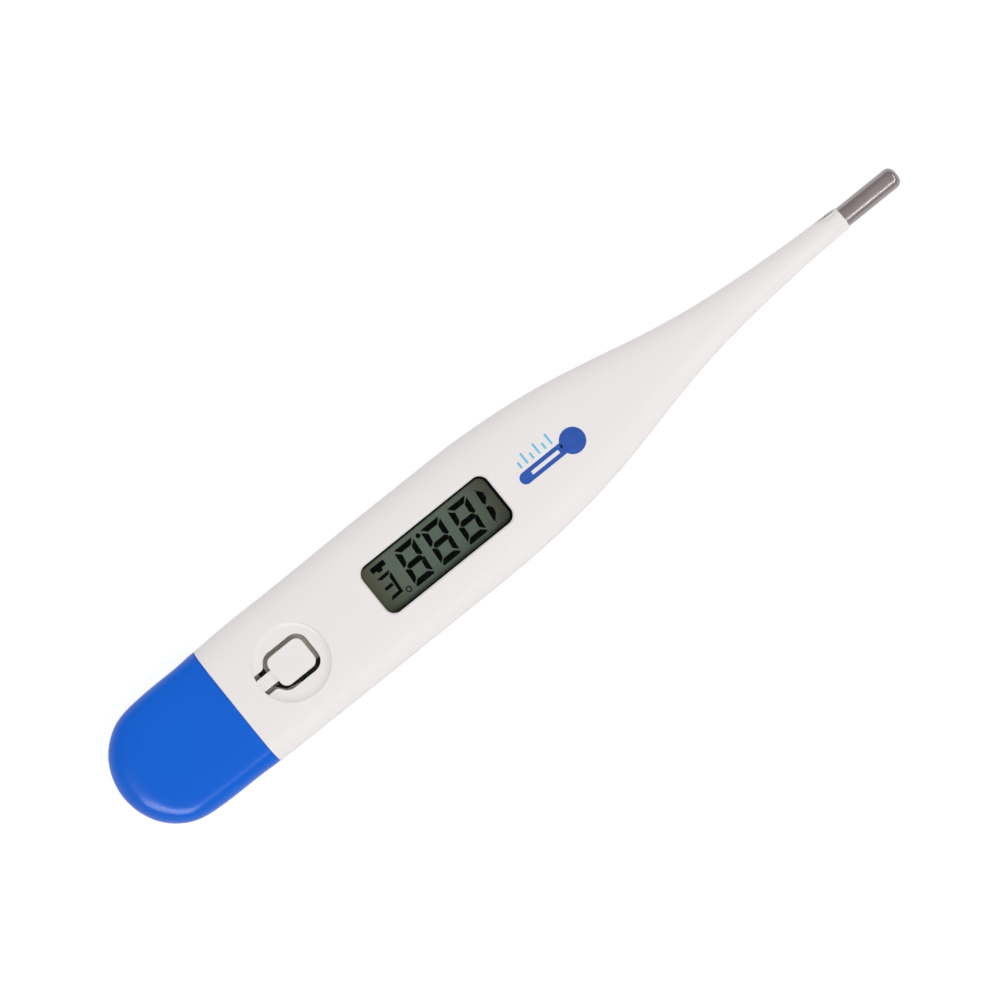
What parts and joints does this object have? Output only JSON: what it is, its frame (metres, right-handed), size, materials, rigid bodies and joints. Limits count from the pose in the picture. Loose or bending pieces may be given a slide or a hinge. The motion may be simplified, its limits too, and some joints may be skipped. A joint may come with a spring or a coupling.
{
  "type": "digital thermometer",
  "caption": "Pen-type clinical thermometer: slim body tapering to a steel probe, small segment display, flexing push button and a pull-off battery cap.",
  "frame": {"origin": "On the flat resting face of the back, under the middle of the overall length and width.", "axes": "+X runs along the body from the probe tip to the battery cap, +Y is up as the display is read, +Z points out of the display face and up from the table."},
  "size_m": [0.127, 0.0181, 0.0104],
  "materials": {
    "white_body": "glossy white ABS",
    "window_clear": "clear moulded window",
    "probe_steel": "drawn stainless steel",
    "epoxy": "cured epoxy",
    "bead_glass": "coated thermistor bead",
    "wire_enamel": "thin insulated wire",
    "blue_cap": "glossy blue ABS",
    "carrier_plastic": "moulded off-white plastic",
    "board_green": "solder mask on fibreglass",
    "black_epoxy": "potting resin",
    "chip_black": "chip resistor",
    "chip_tan": "chip capacitor",
    "lcd_glass": "thin display glass",
    "lcd_film": "polarising film",
    "lcd_back": "reflective film",
    "zebra_rubber": "striped contact rubber",
    "black_plastic": "black moulding",
    "contact_steel": "nickel-plated spring steel",
    "brass_plate": "brass disc",
    "piezo_ceramic": "silvered ceramic",
    "cell_steel": "nickel-plated steel",
    "gasket_nylon": "nylon",
    "solder": "solder"
  },
  "bodies": {
    "body": {"casing": "white_body", "display_window": "window_clear", "probe_tip": "probe_steel", "tip_adhesive": "epoxy", "thermistor_bead": "bead_glass", "lead_wires": "wire_enamel"},
    "cap": {"battery_cap": "blue_cap"},
    "button": {"power_button": "white_body"},
    "module": {"carrier": "carrier_plastic", "circuit_board": "board_green", "chip_glob": "black_epoxy", "chip_resistors": "chip_black", "chip_capacitors": "chip_tan", "lcd_rear_glass": "lcd_glass", "lcd_front_glass": "lcd_glass", "lcd_front_polariser": "lcd_film", "lcd_reflector": "lcd_back", "zebra_strip": "zebra_rubber", "lcd_frame": "black_plastic", "switch_base": "black_plastic", "switch_cover": "contact_steel", "switch_terminals": "contact_steel", "switch_dome": "contact_steel", "buzzer_plate": "brass_plate", "buzzer_ceramic": "piezo_ceramic", "buzzer_leads": "wire_enamel", "battery_can": "cell_steel", "battery_cup": "cell_steel", "battery_gasket": "gasket_nylon", "positive_contact": "contact_steel", "negative_contact": "contact_steel", "solder_joints": "solder"},
    "stem": {"switch_stem": "black_plastic"}
  },
  "joints": [
    {"name": "cap_pull", "type": "slide", "parent": "body", "child": "cap", "axis": [1, 0, 0], "range_m": [0, 0.027]},
    {"name": "module_pull", "type": "slide", "parent": "body", "child": "module", "axis": [1, 0, 0], "range_m": [0, 0.0081], "deforming": ["lead_wires"]},
    {"name": "button_press", "type": "hinge", "parent": "body", "child": "button", "pos_m": [0.0406, 0, 0.0095], "axis": [0, -1, 0], "range_deg": [0, 3.5]},
    {"name": "switch_stem_press", "type": "slide", "parent": "module", "child": "stem", "axis": [0, 0, -1], "range_m": [0, 0.00031], "deforming": ["switch_dome"]}
  ],
  "couplings": [
    {"joint": "module_pull", "follows": "cap_pull", "ratio": 0.3},
    {"joint": "switch_stem_press", "follows": "button_press", "m_per_rad": 0.00502}
  ]
}
